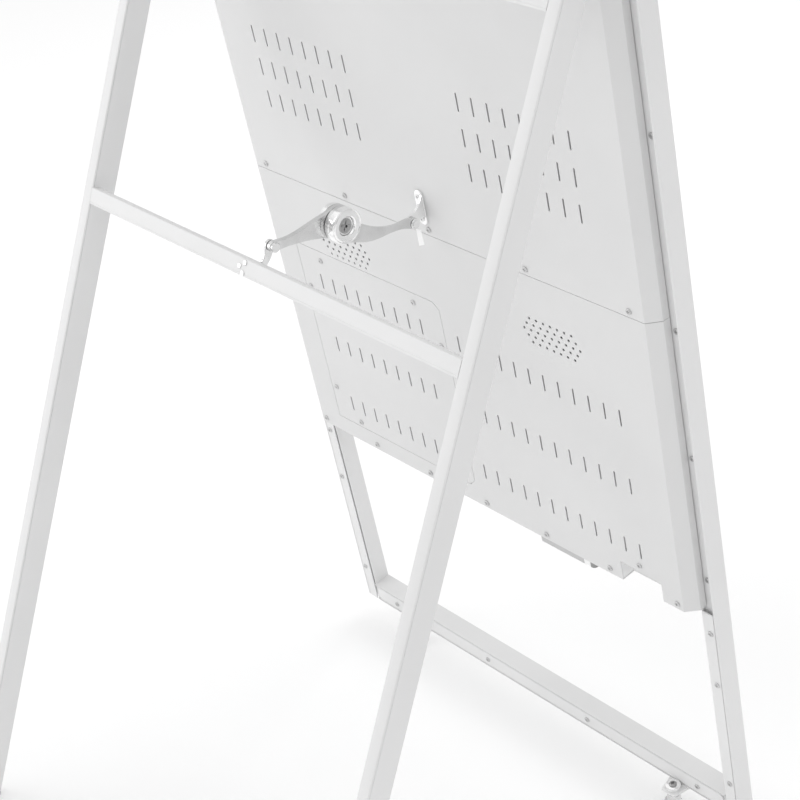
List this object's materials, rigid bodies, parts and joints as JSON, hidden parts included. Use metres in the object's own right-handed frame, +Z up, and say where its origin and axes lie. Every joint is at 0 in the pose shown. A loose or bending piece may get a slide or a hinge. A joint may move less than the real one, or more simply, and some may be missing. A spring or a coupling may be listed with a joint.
{
  "type": "sandwich board",
  "caption": "Digital sandwich board: a framed display leaning on a hinged rear frame, held open by a chrome friction stay, on levelling feet.",
  "frame": {"origin": "middle of the footprint, on the floor", "axes": "+Z up, +X across the board, the display faces -Y and the rear frame stands towards +Y"},
  "size_m": [0.602, 0.6092, 1.303],
  "materials": {
    "white_coat": "satin white powder coat",
    "chrome_plate": "bright plated",
    "screen_glass": "polished",
    "screen_film": "dark, switched off",
    "sheet_aluminium": "mill",
    "black_plastic": "moulded",
    "circuit_board": "solder mask",
    "tag_plastic": "moulded",
    "white_plastic": "moulded",
    "rubber_foot": "moulded"
  },
  "bodies": {
    "display": {"stile_left": "white_coat", "stile_right": "white_coat", "stile_strip_left": "white_coat", "stile_strip_right": "white_coat", "bottom_rail": "white_coat", "top_rail": "white_coat", "bottom_rail_strip": "white_coat", "display_sill": "white_coat", "front_glass": "screen_glass", "lcd_panel": "screen_film", "backlight_tray": "sheet_aluminium", "display_chassis": "sheet_aluminium", "upper_rear_cover": "white_coat", "lower_rear_cover": "white_coat", "access_door": "white_coat", "door_frame": "sheet_aluminium", "seam_support_bar": "sheet_aluminium", "edge_support_bar": "sheet_aluminium", "inlet_bracket": "sheet_aluminium", "power_inlet": "black_plastic", "port_block": "black_plastic", "speaker_left": "black_plastic", "speaker_right": "black_plastic", "media_player_board": "circuit_board", "power_supply": "sheet_aluminium", "panel_driver_board": "circuit_board", "hinge_bracket_left": "chrome_plate", "hinge_pin_left": "chrome_plate", "hinge_bracket_right": "chrome_plate", "hinge_pin_right": "chrome_plate", "stay_cover_pin": "chrome_plate", "stay_cover_bracket": "chrome_plate", "stay_tag": "tag_plastic", "foot_bracket_left": "chrome_plate", "foot_bracket_right": "chrome_plate", "cover_screws": "chrome_plate", "sheet_screws": "chrome_plate", "channel_screws": "chrome_plate", "strip_screws": "chrome_plate", "bracket_screws": "chrome_plate"},
    "rear_frame": {"rear_leg_left": "white_coat", "leg_cap_left": "white_plastic", "rear_foot_left": "rubber_foot", "rear_leg_right": "white_coat", "leg_cap_right": "white_plastic", "rear_foot_right": "rubber_foot", "rear_crossbar": "white_coat", "rear_top_bar": "white_coat", "stay_crossbar_bracket": "chrome_plate", "crossbar_rivets": "chrome_plate"},
    "stay_upper": {"stay_upper_arm": "chrome_plate", "stay_hub_front": "chrome_plate", "stay_hub_spindle": "chrome_plate"},
    "stay_lower": {"stay_lower_arm": "chrome_plate", "stay_hub_back": "chrome_plate", "stay_tail_pin": "chrome_plate"},
    "foot_left": {"foot_stud_left": "chrome_plate", "foot_pad_left": "chrome_plate"},
    "foot_right": {"foot_stud_right": "chrome_plate", "foot_pad_right": "chrome_plate"}
  },
  "joints": [
    {"name": "rear_frame_fold", "type": "hinge", "parent": "display", "child": "rear_frame", "pos_m": [0, 0.01819, 0.96932], "axis": [1, 0, 0], "range_deg": [-24, 0]},
    {"name": "stay_upper_swing", "type": "hinge", "parent": "display", "child": "stay_upper", "pos_m": [0, -0.0664, 0.66111], "axis": [1, 0, 0], "range_deg": [0, 48.2]},
    {"name": "stay_elbow", "type": "hinge", "parent": "stay_upper", "child": "stay_lower", "pos_m": [0, 0.02486, 0.68148], "axis": [1, 0, 0], "range_deg": [-138.7, 0]},
    {"name": "foot_left_slide", "type": "slide", "parent": "display", "child": "foot_left", "axis": [0, -0.2701, -0.9628], "range_m": [0, 0.006]},
    {"name": "foot_right_slide", "type": "slide", "parent": "display", "child": "foot_right", "axis": [0, -0.2701, -0.9628], "range_m": [0, 0.006]}
  ],
  "couplings": [
    {"joint": "stay_upper_swing", "follows": "rear_frame_fold", "ratio": -1.9903},
    {"joint": "stay_elbow", "follows": "rear_frame_fold", "ratio": 5.7641}
  ]
}
